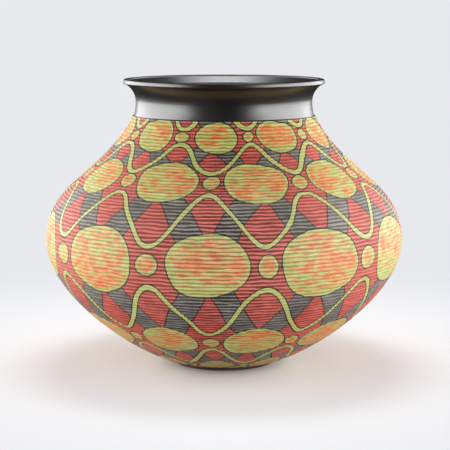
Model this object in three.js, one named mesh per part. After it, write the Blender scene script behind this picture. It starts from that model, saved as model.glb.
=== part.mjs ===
// Corrugated water jar: a wide-bellied thrown jar with a finely ribbed wall and a smooth burnished neck.
// It is built the way a potter builds one of this size, as thrown sections that are keyed and luted together.
// Millimetres, +Z up. The origin is on the jar's axis, in the plane that the foot rests on.
import * as THREE from "three";

// Outline of the wall: the radius at the foot, the belly and the shoulder, and the rise of each stretch
const footRadius = 46;
const footHeight = 3;
const lowerRise = 109.5;
const bellyRadius = 160;
const upperRise = 110.8;
const shoulderRadius = 81.6;

// How the wall curves: the reach of each end of its curves, and its slope at the foot and at the shoulder
const footReach = 25;
const footSlope = THREE.MathUtils.degToRad(3);
const bellyReachBelow = 50.5;
const bellyReachAbove = 52.5;
const shoulderReach = 60;
const shoulderLean = THREE.MathUtils.degToRad(27);

// Outline of the neck: a shallow hollow up to the waist, then a round flare that ends in the lip
const neckStep = 1.2;
const hollowRise = 12;
const hollowDepth = 1.6;
const flareRadius = 18.3;
const flareSweep = THREE.MathUtils.degToRad(61.5);
const lipSeamSweep = THREE.MathUtils.degToRad(46);
const lipOverhang = 1.5;
const lipFaceHeight = 4;
const lipTopWidth = 4.5;
const lipEdgeRadius = 1.2;

// Clay thickness
const wallThickness = 7;
const neckThickness = 6;
const floorThickness = 7;
const footRingWidth = 8;

// Corrugation of the wall, and the smooth margins that it leaves at the foot and below the neck
const ribPitch = 3.3;
const ribDepth = 0.8;
const footMargin = 8;
const neckMargin = 3;

// Keyed seams between the sections: a tongue on one edge enters a groove in the other
const seamGap = 0.3;
const tongueShare = 0.36;
const tongueHeight = 2;

// Fineness of the faceted surfaces
const segments = 32;
const curveSteps = 6;
const insideSteps = 11;
const edgeSteps = 2;

// Heights and radii that follow from the sizes above
const bellyHeight = footHeight + lowerRise;
const shoulderHeight = bellyHeight + upperRise;
const floorTop = footHeight + floorThickness;
const floorEdge = footRadius - footRingWidth / 2;
const neckFootRadius = shoulderRadius - neckStep;
const neckFootHeight = shoulderHeight + seamGap;
const throatRadius = neckFootRadius - neckThickness;
const waistRadius = neckFootRadius - hollowDepth;
const waistHeight = neckFootHeight + hollowRise;
const innerFlareRadius = flareRadius + neckThickness;
const lipSeamHeight = waistHeight + flareRadius * Math.sin(lipSeamSweep);
const lipBottom = waistHeight + flareRadius * Math.sin(flareSweep);
const lipTop = lipBottom + lipFaceHeight;

const finishes = {
  redSlip: { color: 0xc0453a, roughness: 0.8, metalness: 0 },
  burnishedClay: { color: 0x231f1c, roughness: 0.3, metalness: 0 },
  bareClay: { color: 0x4b3730, roughness: 0.9, metalness: 0 },
};

const at = (radius, height) => new THREE.Vector2(radius, height);

// The outer line of the wall, from the foot up to the belly and from the belly up to the shoulder.
const lowerLine = new THREE.CubicBezierCurve(
  at(footRadius, footHeight),
  at(footRadius + footReach * Math.cos(footSlope), footHeight + footReach * Math.sin(footSlope)),
  at(bellyRadius, bellyHeight - bellyReachBelow),
  at(bellyRadius, bellyHeight),
);
const upperLine = new THREE.CubicBezierCurve(
  at(bellyRadius, bellyHeight),
  at(bellyRadius, bellyHeight + bellyReachAbove),
  at(
    shoulderRadius + shoulderReach * Math.sin(shoulderLean),
    shoulderHeight - shoulderReach * Math.cos(shoulderLean),
  ),
  at(shoulderRadius, shoulderHeight),
);

// A point of a wall line, at a distance along it from its lower end, and at a depth into the clay.
function wallPoint(line, distance, depth) {
  const share = distance / line.getLength();
  const tangent = line.getTangentAt(share);
  return line.getPointAt(share).add(at(-tangent.y, tangent.x).multiplyScalar(depth));
}

// The ribs between two distances along a wall line: a groove first, then a crest and a groove for each rib.
function ribs(line, from, to) {
  const count = Math.round((to - from) / ribPitch);
  const points = [];
  for (let half = 0; half <= 2 * count; half++) {
    const depth = half % 2 ? 0 : ribDepth;
    points.push(wallPoint(line, from + ((to - from) * half) / (2 * count), depth));
  }
  return points;
}

// The inner face behind a wall line, in order from one distance along it to another.
function innerFace(line, from, to) {
  const points = [];
  for (let step = 0; step <= insideSteps; step++) {
    points.push(wallPoint(line, from + ((to - from) * step) / insideSteps, wallThickness));
  }
  return points;
}

// Points along an arc from one angle to another, both ends included.
function arc(centre, radius, start, end, steps) {
  const points = [];
  for (let step = 0; step <= steps; step++) {
    const angle = start + ((end - start) * step) / steps;
    points.push(at(centre.x + radius * Math.cos(angle), centre.y + radius * Math.sin(angle)));
  }
  return points;
}

// The corners of a key on a level edge, in order inwards. It rises from the edge, or sinks where rise is negative.
function key(middle, height, width, rise) {
  const outer = middle + width / 2;
  const inner = middle - width / 2;
  return [at(outer, height), at(outer, height + rise), at(inner, height + rise), at(inner, height)];
}

// Each seam has its tongue and its groove on one middle radius, and they are told up (1) or down (-1).
const tongue = (seam, height, direction) => key(seam.middle, height, seam.width, direction * tongueHeight);
const groove = (seam, height, direction) =>
  key(seam.middle, height, seam.width + 2 * seamGap, direction * (tongueHeight + seamGap));

const bellySeam = {
  middle: bellyRadius - (ribDepth + wallThickness) / 2,
  width: tongueShare * (wallThickness - ribDepth),
};
const neckSeam = {
  middle: neckFootRadius - neckThickness / 2,
  width: tongueShare * neckThickness,
};

// The lip's key stands midway through the flare's clay at half of the key's depth.
const flareCentre = at(waistRadius + flareRadius, waistHeight);
const keyMiddleHeight = lipSeamHeight - tongueHeight / 2;
const lipSeam = {
  middle: (flareRadiusAt(flareRadius, keyMiddleHeight) + flareRadiusAt(innerFlareRadius, keyMiddleHeight)) / 2,
  width: tongueShare * neckThickness,
};

// The angle about the flare's centre at which a flare line reaches a height, and the jar's radius there.
function flareAngleAt(radius, height) {
  return Math.PI - Math.asin((height - waistHeight) / radius);
}

function flareRadiusAt(radius, height) {
  return flareCentre.x + radius * Math.cos(flareAngleAt(radius, height));
}

// A profile turned about the jar's axis. A ring's profile runs up its outer side and down its inner side.
function turned(name, finish, profile) {
  const closed = profile[0].x > 0 ? [...profile, profile[0].clone()] : profile;
  const geometry = new THREE.LatheGeometry(closed, segments);
  geometry.rotateX(Math.PI / 2);
  const mesh = new THREE.Mesh(geometry, new THREE.MeshStandardMaterial(finishes[finish]));
  mesh.name = name;
  return mesh;
}

// The foot: a low trimmed ring that carries the edge of the floor and the bottom edge of the wall.
function footRing() {
  const inner = footRadius - footRingWidth;
  const top = footHeight - seamGap;
  return turned("foot_ring", "bareClay", [at(inner, 0), at(footRadius, 0), at(footRadius, top), at(inner, top)]);
}

// The floor: a thrown disc inside the bottom edge of the wall, borne by the inner half of the foot ring.
function floorDisc() {
  const edge = floorEdge - seamGap;
  return turned("floor_disc", "bareClay", [
    at(0, footHeight),
    at(edge, footHeight),
    at(edge, floorTop),
    at(0, floorTop),
  ]);
}

// The lower wall: a ribbed bowl from the foot to the belly, with a tongue round its top edge.
function lowerWall() {
  const top = lowerLine.getLength() - seamGap / 2;
  const outer = ribs(lowerLine, footMargin, top);
  const inner = innerFace(lowerLine, top, footMargin).filter((point) => point.y > floorTop);
  const topEdge = bellyHeight - seamGap / 2;
  outer[outer.length - 1].y = topEdge;
  inner[0].y = topEdge;
  return turned("lower_wall", "redSlip", [
    at(floorEdge, footHeight),
    wallPoint(lowerLine, 0, 0),
    ...outer,
    ...tongue(bellySeam, topEdge, 1),
    ...inner,
    at(floorEdge, floorTop),
  ]);
}

// The shoulder wall: the ribbed upper half, with a groove in its bottom edge and one in its top edge.
function shoulderWall() {
  const bottom = seamGap / 2;
  const top = upperLine.getLength() - neckMargin;
  const outer = ribs(upperLine, bottom, top);
  const inner = innerFace(upperLine, top, bottom);
  const bottomEdge = bellyHeight + seamGap / 2;
  outer[0].y = bottomEdge;
  inner[inner.length - 1].y = bottomEdge;
  return turned("shoulder_wall", "redSlip", [
    ...outer,
    at(shoulderRadius, shoulderHeight),
    ...groove(neckSeam, shoulderHeight, -1),
    at(throatRadius, shoulderHeight),
    ...inner,
    ...groove(bellySeam, bottomEdge, 1).reverse(),
  ]);
}

// The neck collar: hollow and flare, with a tongue below for the shoulder and a groove above for the lip.
function neckCollar() {
  const hollowRadius = (hollowRise ** 2 + hollowDepth ** 2) / (2 * hollowDepth);
  const hollowCentre = at(waistRadius + hollowRadius, waistHeight);
  const hollowAngle = Math.PI + Math.asin(hollowRise / hollowRadius);
  const top = lipSeamHeight - seamGap / 2;
  return turned("neck_collar", "burnishedClay", [
    ...arc(hollowCentre, hollowRadius, hollowAngle, Math.PI, curveSteps),
    ...arc(flareCentre, flareRadius, Math.PI, flareAngleAt(flareRadius, top), curveSteps).slice(1),
    ...groove(lipSeam, top, -1),
    ...arc(flareCentre, innerFlareRadius, flareAngleAt(innerFlareRadius, top), Math.PI, curveSteps),
    at(throatRadius, neckFootHeight),
    ...tongue(neckSeam, neckFootHeight, -1).reverse(),
  ]);
}

// The lip: the end of the flare, with an upright face, rounded edges and a mouth that falls to the throat.
function rimLip() {
  const bottom = lipSeamHeight + seamGap / 2;
  const lipRadius = flareRadiusAt(flareRadius, lipBottom) + lipOverhang;
  const lowerEdge = at(lipRadius - lipEdgeRadius, lipBottom + lipEdgeRadius);
  const upperEdge = at(lipRadius - lipEdgeRadius, lipTop - lipEdgeRadius);
  const innerEdge = at(lipRadius - lipTopWidth + lipEdgeRadius, lipTop - lipEdgeRadius);
  return turned("rim_lip", "burnishedClay", [
    ...arc(flareCentre, flareRadius, flareAngleAt(flareRadius, bottom), Math.PI - flareSweep, edgeSteps),
    ...arc(lowerEdge, lipEdgeRadius, -Math.PI / 2, 0, edgeSteps),
    ...arc(upperEdge, lipEdgeRadius, 0, Math.PI / 2, edgeSteps),
    ...arc(innerEdge, lipEdgeRadius, Math.PI / 2, Math.PI, edgeSteps),
    at(flareRadiusAt(innerFlareRadius, bottom), bottom),
    ...tongue(lipSeam, bottom, -1).reverse(),
  ]);
}

const jar = new THREE.Group();
jar.add(footRing(), floorDisc(), lowerWall(), shoulderWall(), neckCollar(), rimLip());

export default jar;
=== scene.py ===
"""The looks of a corrugated water jar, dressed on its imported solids.

The ribbed wall is turned finely, its grooves are cut into the mesh, and it is painted with slips in a
plain pattern of ovals, beads, bands and waves. The neck and lip are burnished clay, and the foot and the
inside are bare clay. Metres, +Z up. The jar's axis stands on the origin, and the camera looks along +Y.
"""
import logging
import math
from collections.abc import Sequence
from dataclasses import dataclass
from enum import Enum

import bpy
import numpy as np
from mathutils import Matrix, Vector


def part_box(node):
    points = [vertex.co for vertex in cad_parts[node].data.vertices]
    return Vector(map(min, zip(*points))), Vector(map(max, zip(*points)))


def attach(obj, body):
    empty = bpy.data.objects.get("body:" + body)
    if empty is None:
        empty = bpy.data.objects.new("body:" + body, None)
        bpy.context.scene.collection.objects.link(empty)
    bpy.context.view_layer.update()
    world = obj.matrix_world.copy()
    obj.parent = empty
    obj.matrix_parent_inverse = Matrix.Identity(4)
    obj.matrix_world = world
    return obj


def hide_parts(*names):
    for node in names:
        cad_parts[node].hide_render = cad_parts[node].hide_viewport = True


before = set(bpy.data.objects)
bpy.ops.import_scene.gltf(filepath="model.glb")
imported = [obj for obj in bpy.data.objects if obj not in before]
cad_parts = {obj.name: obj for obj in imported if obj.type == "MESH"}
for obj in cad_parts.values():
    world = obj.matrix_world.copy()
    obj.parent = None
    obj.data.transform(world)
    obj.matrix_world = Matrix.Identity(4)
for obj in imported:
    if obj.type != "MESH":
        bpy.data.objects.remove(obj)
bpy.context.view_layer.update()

BODY = "root"
TURN = 2 * math.pi
QUARTER = TURN / 4
SHARP_FROM = math.radians(40)
ROUNDING_STEPS = 3
log = logging.getLogger("jar")

Point = tuple[float, float]
Socket = bpy.types.NodeSocket


class Slot(Enum):
    """The record's material slots."""

    PAINTED = "painted_slip"
    BURNISHED = "burnished_clay"
    BARE = "bare_clay"


class Face(Enum):
    """Which material slot of a wall's mesh a face takes."""

    OUTSIDE = 0
    INSIDE = 1


class Way(Enum):
    """Which way a key points from its edge."""

    UP = 1
    DOWN = -1


@dataclass(frozen=True)
class Seam:
    """A keyed seam, where a tongue on the level edge of one section enters a groove in the next one."""

    middle: float
    width: float
    height: float
    gap: float

    def tongue(self, edge: float, way: Way) -> list[Point]:
        """Returns the corners of the tongue on an edge, in order inwards."""
        return self.corners(edge, self.width, way.value * self.height)

    def groove(self, edge: float, way: Way) -> list[Point]:
        """Returns the corners of the groove in an edge, in order inwards."""
        return self.corners(edge, self.width + 2 * self.gap, way.value * (self.height + self.gap))

    def corners(self, edge: float, width: float, rise: float) -> list[Point]:
        """Finds the corners of a key.

        Args:
            edge: The height of the edge that it is on.
            width: Its width.
            rise: How far it rises from the edge. It sinks where this is negative.

        Returns:
            The four corners, in order inwards.
        """
        outer = self.middle + width / 2
        inner = self.middle - width / 2
        return [(outer, edge), (outer, edge + rise), (inner, edge + rise), (inner, edge)]


@dataclass(frozen=True)
class JarSizes:
    """The jar's sizes in metres.

    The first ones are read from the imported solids, and the rest repeat the source of those solids.
    """

    foot_radius: float
    foot_top: float
    floor_radius: float
    floor_bottom: float
    floor_top: float
    belly_height: float
    shoulder_height: float
    lip_radius: float
    lip_top: float
    belly_radius: float = 0.160
    shoulder_radius: float = 0.0816
    foot_reach: float = 0.025
    foot_slope: float = math.radians(3)
    belly_reach_below: float = 0.0505
    belly_reach_above: float = 0.0525
    shoulder_reach: float = 0.060
    shoulder_lean: float = math.radians(27)
    neck_step: float = 0.0012
    hollow_rise: float = 0.012
    hollow_depth: float = 0.0016
    flare_radius: float = 0.0183
    lip_seam_sweep: float = math.radians(46)
    lip_face_height: float = 0.004
    lip_top_width: float = 0.0045
    lip_edge_radius: float = 0.0012
    wall_thickness: float = 0.007
    neck_thickness: float = 0.006
    foot_ring_width: float = 0.008
    groove_depth: float = 0.0008
    seam_gap: float = 0.0003
    tongue_share: float = 0.36
    tongue_height: float = 0.002

    @classmethod
    def from_frame(cls) -> "JarSizes":
        """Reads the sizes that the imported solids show.

        Returns:
            The jar's sizes.
        """
        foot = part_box("foot_ring")
        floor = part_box("floor_disc")
        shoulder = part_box("shoulder_wall")
        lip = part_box("rim_lip")
        return cls(
            foot_radius=foot[1].x,
            foot_top=foot[1].z,
            floor_radius=floor[1].x,
            floor_bottom=floor[0].z,
            floor_top=floor[1].z,
            belly_height=shoulder[0].z - cls.seam_gap / 2,
            shoulder_height=shoulder[1].z,
            lip_radius=lip[1].x,
            lip_top=lip[1].z,
        )

    @property
    def neck_foot(self) -> Point:
        """The radius and height of the solid neck's outer bottom edge."""
        return self.shoulder_radius - self.neck_step, self.shoulder_height + self.seam_gap

    @property
    def throat_radius(self) -> float:
        """The least inner radius of the neck."""
        return self.neck_foot[0] - self.neck_thickness

    @property
    def waist(self) -> Point:
        """The radius and height at which the neck's hollow turns into the flare."""
        return self.neck_foot[0] - self.hollow_depth, self.neck_foot[1] + self.hollow_rise

    @property
    def floor_edge(self) -> float:
        """The inner radius of the wall's bottom edge."""
        return self.foot_radius - self.foot_ring_width / 2

    @property
    def belly_seam(self) -> Seam:
        """The seam between the two walls."""
        middle = self.belly_radius - (self.groove_depth + self.wall_thickness) / 2
        return self.seam(middle, self.wall_thickness - self.groove_depth)

    @property
    def neck_seam(self) -> Seam:
        """The seam between the shoulder and the neck."""
        return self.seam(self.neck_foot[0] - self.neck_thickness / 2, self.neck_thickness)

    def seam(self, middle: float, clay: float) -> Seam:
        """Returns the seam on a middle radius, in an edge of clay of a thickness."""
        return Seam(middle, self.tongue_share * clay, self.tongue_height, self.seam_gap)


def cubic(points: Sequence[Point], count: int) -> np.ndarray:
    """Finds points along a cubic curve.

    Args:
        points: The two ends of the curve, with its two handles between them.
        count: How many points to find.

    Returns:
        A row of radius and height for each point.
    """
    share = np.linspace(0, 1, count)[:, None]
    start, first, second, end = np.array(points)
    rest = 1 - share
    return rest**3 * start + 3 * rest**2 * share * first + 3 * rest * share**2 * second + share**3 * end


def arc(centre: Point, radius: float, start: float, end: float, steps: int) -> list[Point]:
    """Finds points along an arc, both ends included.

    Args:
        centre: The centre's radius and height on the jar.
        radius: The arc's own radius.
        start: The angle that it starts at.
        end: The angle that it ends at.
        steps: How many steps it takes.

    Returns:
        The points, in order.
    """
    angles = np.linspace(start, end, steps + 1)
    return [(centre[0] + radius * math.cos(a), centre[1] + radius * math.sin(a)) for a in angles]


def ease(value: np.ndarray, low: float, high: float) -> np.ndarray:
    """Turns a value into a share that rises smoothly from 0 at low to 1 at high.

    Args:
        value: The values.
        low: The value at which the share is 0.
        high: The value at which it is 1, which may be below low.

    Returns:
        The shares.
    """
    share = np.clip((value - low) / (high - low), 0, 1)
    return share * share * (3 - 2 * share)


class WallLine:
    """The outer line of the wall, measured by the distance along it from the foot.

    Its level is a height on which a shape keeps its proportions as the wall widens and narrows: a step of
    level is as long as the same step of angle round the jar. It is 0 at the belly. The fineness is the
    number of points on each side of the belly.
    """

    fineness: int = 3000

    def __init__(self, sizes: JarSizes) -> None:
        """Measures the line.

        Args:
            sizes: The jar's sizes.
        """
        foot = (sizes.foot_radius, sizes.floor_bottom)
        belly = (sizes.belly_radius, sizes.belly_height)
        shoulder = (sizes.shoulder_radius, sizes.shoulder_height)
        foot_handle = (
            foot[0] + sizes.foot_reach * math.cos(sizes.foot_slope),
            foot[1] + sizes.foot_reach * math.sin(sizes.foot_slope),
        )
        shoulder_handle = (
            shoulder[0] + sizes.shoulder_reach * math.sin(sizes.shoulder_lean),
            shoulder[1] - sizes.shoulder_reach * math.cos(sizes.shoulder_lean),
        )
        below = (belly[0], belly[1] - sizes.belly_reach_below)
        above = (belly[0], belly[1] + sizes.belly_reach_above)
        lower = cubic([foot, foot_handle, below, belly], self.fineness)
        upper = cubic([belly, above, shoulder_handle, shoulder], self.fineness)
        line = np.vstack([lower, upper[1:]])
        step = np.hypot(*np.diff(line, axis=0).T)
        level = np.concatenate([[0.0], np.cumsum(2 * step / (line[1:, 0] + line[:-1, 0]))])
        at_belly = len(lower) - 1
        self.radius = line[:, 0]
        self.height = line[:, 1]
        self.distance = np.concatenate([[0.0], np.cumsum(step)])
        self.level = level - level[at_belly]
        self.belly = self.distance[at_belly]
        self.length = self.distance[-1]

    def place(self, distance: np.ndarray) -> tuple[np.ndarray, np.ndarray]:
        """Returns the radius and height at a distance along the line."""
        radius = np.interp(distance, self.distance, self.radius)
        return radius, np.interp(distance, self.distance, self.height)

    def at_height(self, height: np.ndarray) -> np.ndarray:
        """Returns the distance along the line at a height."""
        return np.interp(height, self.height, self.distance)

    def at_level(self, level: np.ndarray) -> np.ndarray:
        """Returns the distance along the line at a level."""
        return np.interp(level, self.level, self.distance)

    def level_at(self, distance: np.ndarray) -> np.ndarray:
        """Returns the level at a distance along the line."""
        return np.interp(distance, self.distance, self.level)

    def into_clay(self, distance: np.ndarray, depth: np.ndarray) -> tuple[np.ndarray, np.ndarray]:
        """Finds places in the clay behind the line.

        Args:
            distance: The distances along the line.
            depth: How deep the places lie, square to the line.

        Returns:
            Their radii and heights.
        """
        reach = self.length / self.fineness
        before = np.array(self.place(distance - reach))
        after = np.array(self.place(distance + reach))
        along = (after - before) / np.hypot(*(after - before))
        radius, height = self.place(distance)
        return radius - depth * along[1], height + depth * along[0]

    def trace(self, distances: np.ndarray, depths: np.ndarray) -> list[Point]:
        """Returns the same places as a list of points, for an outline."""
        radii, heights = self.into_clay(distances, depths)
        return [(float(radius), float(height)) for radius, height in zip(radii, heights)]


@dataclass(frozen=True)
class Wander:
    """A smooth wander, as of a hand-held tool, that joins up round the jar.

    It is a sum of waves, about as long across and along as it says. Each is drawn to be from least to most
    times as frequent.
    """

    seed: int
    across: float
    along: float
    waves: int = 7
    least: float = 0.5
    most: float = 1.5

    def at(self, angle: np.ndarray, distance: np.ndarray, radius: float) -> np.ndarray:
        """Finds the wander at places on the wall.

        Args:
            angle: The angles round the jar.
            distance: The distances along the wall line.
            radius: The jar's radius, which gives the scale across.

        Returns:
            Values from about -1 to 1.
        """
        draw = np.random.default_rng(self.seed)
        total = np.zeros_like(angle)
        for _ in range(self.waves):
            turns = np.round(draw.uniform(self.least, self.most) * TURN * radius / self.across)
            rate = draw.uniform(self.least, self.most) * TURN / self.along
            phases = draw.uniform(0, TURN, 2)
            total = total + np.sin(turns * angle + phases[0]) * np.sin(rate * distance + phases[1])
        return total / math.sqrt(self.waves)


@dataclass(frozen=True)
class Wheel:
    """Turns outlines about the jar's axis, in a number of steps."""

    turns: int = 420
    merge_within: float = 1e-5

    def throw(self, name: str, outline: Sequence[Point]) -> bpy.types.Object:
        """Traces an outline by extruding one point, and turns it into a solid.

        Args:
            name: The piece's name.
            outline: Points of radius and height. A disc's outline starts and ends on the axis, and a ring's
                is closed here.

        Returns:
            The piece, with its faces outwards.
        """
        closed = list(outline)
        if closed[0][0] > 0:
            closed.append(closed[0])
        bpy.ops.object.select_all(action="DESELECT")
        bpy.ops.mesh.primitive_plane_add(size=self.merge_within)
        piece = bpy.context.object
        piece.name = name
        piece.data.name = name
        bpy.ops.object.mode_set(mode="EDIT")
        bpy.ops.mesh.select_mode(type="VERT")
        bpy.ops.mesh.merge(type="CENTER")
        bpy.ops.transform.translate(value=(closed[0][0], 0, closed[0][1]))
        for before, after in zip(closed, closed[1:]):
            step = (after[0] - before[0], 0, after[1] - before[1])
            bpy.ops.mesh.extrude_vertices_move(TRANSFORM_OT_translate={"value": step})
        bpy.ops.mesh.select_all(action="SELECT")
        bpy.ops.mesh.remove_doubles(threshold=self.merge_within)
        bpy.ops.object.mode_set(mode="OBJECT")
        self.turn(piece)
        bpy.ops.object.mode_set(mode="EDIT")
        bpy.ops.mesh.select_all(action="SELECT")
        bpy.ops.mesh.remove_doubles(threshold=self.merge_within)
        bpy.ops.mesh.normals_make_consistent(inside=False)
        bpy.ops.object.mode_set(mode="OBJECT")
        return piece

    def turn(self, piece: bpy.types.Object) -> None:
        """Turns a traced outline once about the axis.

        Args:
            piece: The outline.
        """
        lathe = piece.modifiers.new("turned", "SCREW")
        lathe.axis = "Z"
        lathe.angle = TURN
        lathe.steps = self.turns
        lathe.render_steps = self.turns
        lathe.use_merge_vertices = True
        lathe.merge_threshold = self.merge_within
        bpy.ops.object.modifier_apply(modifier=lathe.name)


def soften(piece: bpy.types.Object, width: float) -> None:
    """Rounds a piece's sharp edges.

    Args:
        piece: The piece.
        width: How wide each rounding is.
    """
    bpy.context.view_layer.objects.active = piece
    bevel = piece.modifiers.new("rounded edges", "BEVEL")
    bevel.width = width
    bevel.segments = ROUNDING_STEPS
    bevel.limit_method = "ANGLE"
    bpy.ops.object.modifier_apply(modifier=bevel.name)


def dress(piece: bpy.types.Object, *clays: bpy.types.Material) -> None:
    """Gives a piece its finishes, and shades it smoothly between its sharp edges.

    Args:
        piece: The piece.
        clays: Its finishes, in the order of its material slots.
    """
    for clay in clays:
        piece.data.materials.append(clay)
    bpy.ops.object.select_all(action="DESELECT")
    piece.select_set(True)
    bpy.context.view_layer.objects.active = piece
    bpy.ops.object.shade_smooth_by_angle(angle=SHARP_FROM)


def corners_of(piece: bpy.types.Object) -> np.ndarray:
    """Reads where a piece's vertices are.

    Args:
        piece: The piece.

    Returns:
        A row of X, Y and Z for each vertex.
    """
    places = np.empty(3 * len(piece.data.vertices), np.float32)
    piece.data.vertices.foreach_get("co", places)
    return places.reshape(-1, 3).astype(float)


def put_corners(piece: bpy.types.Object, places: np.ndarray) -> None:
    """Moves a piece's vertices to new places, one row each."""
    piece.data.vertices.foreach_set("co", places.astype(np.float32).ravel())
    piece.data.update()


def note(piece: bpy.types.Object, name: str, values: np.ndarray) -> None:
    """Keeps a number or a vector at each vertex, for the materials to read.

    Args:
        piece: The piece.
        name: The attribute's name.
        values: One number, or one row of three, for each vertex.
    """
    kind, field = ("FLOAT", "value") if values.ndim == 1 else ("FLOAT_VECTOR", "vector")
    attribute = piece.data.attributes.new(name, kind, "POINT")
    attribute.data.foreach_set(field, values.astype(np.float32).ravel())


@dataclass(frozen=True)
class Row:
    """A row of ovals round the wall: its level, and half an oval's width as a share of the wall's radius."""

    level: float
    spread: float


@dataclass(frozen=True)
class Oval:
    """An oval or bead: its centre, half its width and height, and how warm its colour is, from -1 to 1."""

    angle: float
    distance: float
    half_width: float
    half_height: float
    warmth: float


@dataclass(frozen=True)
class Stretch:
    """The wall between two rows: its middle level, half its height, and the phase of its lines in turns."""

    middle: float
    half: float
    phase: float


@dataclass(frozen=True)
class SlipPattern:
    """A plain repeating pattern: rows of ovals with beads between them, bands that join them, and waves.

    The beads' spread and half the bands' width are shares of the wall's radius, an oval's height is a share
    of its width, and a wave's swing is one of its stretch's height. The whole is turned by an angle, and its
    lines wander by about the shift in metres.
    """

    rows: tuple[Row, ...] = (
        Row(-1.22, 0.23),
        Row(-0.62, 0.226),
        Row(0.0, 0.222),
        Row(0.53, 0.214),
        Row(0.99, 0.21),
    )
    repeats: int = 10
    turned_by: float = 0.09
    lowest_level: float = -1.85
    highest_level: float = 1.5
    oval_height: float = 0.80
    bead_spread: float = 0.056
    uneven: float = 0.05
    band_half: float = 0.068
    wave_swing: float = 0.62
    seed: int = 3
    shift_across: Wander = Wander(seed=11, across=0.09, along=0.07)
    shift_along: Wander = Wander(seed=12, across=0.08, along=0.08)
    shift: float = 0.0016

    def ovals(self, line: WallLine) -> list[Oval]:
        """Lays out the ovals and beads.

        Args:
            line: The wall's line.

        Returns:
            The ovals, with a bead after each, row by row.
        """
        draw = np.random.default_rng(self.seed)
        found = []
        for index, row in enumerate(self.rows):
            distance = float(line.at_level(np.array(row.level)))
            radius = float(line.place(np.array(distance))[0])
            for count in range(self.repeats):
                angle = TURN * (count + 0.5 * (index % 2)) / self.repeats
                for turn, spread, squash in (
                    (0.0, row.spread, self.oval_height),
                    (0.5 * TURN / self.repeats, self.bead_spread, 1.0),
                ):
                    half = spread * radius * draw.uniform(1 - self.uneven, 1 + self.uneven)
                    found.append(Oval(angle + turn, distance, half, squash * half, draw.uniform(-1, 1)))
        return found

    def stretches(self) -> list[Stretch]:
        """Finds the stretches of wall below, between and above the rows.

        Returns:
            The stretches, from the foot up. The lines of every second one are half a repeat further round.
        """
        levels = [self.lowest_level, *(row.level for row in self.rows), self.highest_level]
        found = []
        for index, (low, high) in enumerate(zip(levels, levels[1:])):
            found.append(Stretch((low + high) / 2, (high - low) / 2, 0.5 * (index % 2)))
        return found

    def measure(self, line: WallLine, angle: np.ndarray, distance: np.ndarray) -> dict[str, np.ndarray]:
        """Measures how far places on the wall lie from the pattern's lines, in metres along the wall.

        Args:
            line: The wall's line.
            angle: The angles round the jar.
            distance: The distances along the wall line.

        Returns:
            net, the distance outside the bands; wave, the distance above or below a wave's middle; disc, the
            distance outside an oval; share, the distance from its centre as a share of its size; and warmth,
            how warm its colour is.
        """
        belly = float(line.radius.max())
        across = self.shift * self.shift_across.at(angle, distance, belly)
        along = self.shift * self.shift_along.at(angle, distance, belly)
        radius = line.place(distance)[0]
        angle = angle + self.turned_by + across / radius
        distance = distance + along
        level = line.level_at(distance)
        net = np.full_like(angle, np.inf)
        wave = np.zeros_like(angle)
        for stretch in self.stretches():
            turns = self.repeats * angle / TURN + stretch.phase
            above = level - stretch.middle
            net = np.minimum(net, self.beside_band(stretch, turns, above) * radius)
            here = np.abs(above) <= stretch.half
            wave = np.where(here, self.beside_wave(stretch, turns, above) * radius, wave)
        return {"net": net, "wave": wave, **self.beside_oval(line, angle, distance)}

    def beside_band(self, stretch: Stretch, turns: np.ndarray, above: np.ndarray) -> np.ndarray:
        """Measures places against the zigzag band of a stretch.

        Args:
            stretch: The stretch.
            turns: How many repeats round the jar the places are.
            above: Their levels above the middle of the stretch.

        Returns:
            The distances outside the band, as shares of the wall's radius.
        """
        zigzag = stretch.half * (1 - 4 * np.abs((turns + 0.5) % 1 - 0.5))
        slope = 4 * stretch.half * self.repeats / TURN
        return np.abs(above - zigzag) / math.sqrt(1 + slope**2) - self.band_half

    def beside_wave(self, stretch: Stretch, turns: np.ndarray, above: np.ndarray) -> np.ndarray:
        """Measures places against the wave of a stretch.

        Args:
            stretch: The stretch.
            turns: How many repeats round the jar the places are.
            above: Their levels above the middle of the stretch.

        Returns:
            The distances from the wave's middle, as shares of the wall's radius.
        """
        swing = stretch.half * self.wave_swing
        curve = -swing * np.cos(TURN * turns)
        lean = swing * self.repeats * np.sin(TURN * turns)
        # The side turns over with each stretch, so that no false wave appears where two of them meet.
        side = 1 - 4 * stretch.phase
        return side * (above - curve) / np.sqrt(1 + lean**2)

    def beside_oval(self, line: WallLine, angle: np.ndarray, distance: np.ndarray) -> dict[str, np.ndarray]:
        """Measures places against the nearest oval, as measure() says, which has shifted them by then.

        Args:
            line: The wall's line.
            angle: The shifted angles.
            distance: The shifted distances.

        Returns:
            disc, share and warmth.
        """
        radius = line.place(distance)[0]
        disc = np.full_like(angle, np.inf)
        share = np.ones_like(angle)
        warmth = np.zeros_like(angle)
        for oval in self.ovals(line):
            x = radius * ((angle - oval.angle + TURN / 2) % TURN - TURN / 2)
            y = distance - oval.distance
            # The small numbers keep the reach and slope above 0 at an oval's centre.
            reach = np.hypot(x / oval.half_width, y / oval.half_height) + 1e-6
            slope = np.hypot(x / oval.half_width**2, y / oval.half_height**2) + 1e-3
            off = (reach - 1) * reach / slope
            nearer = off < disc
            disc = np.where(nearer, off, disc)
            share = np.where(nearer, reach, share)
            warmth = np.where(nearer, oval.warmth, warmth)
        return {"disc": disc, "share": share, "warmth": warmth}


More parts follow.
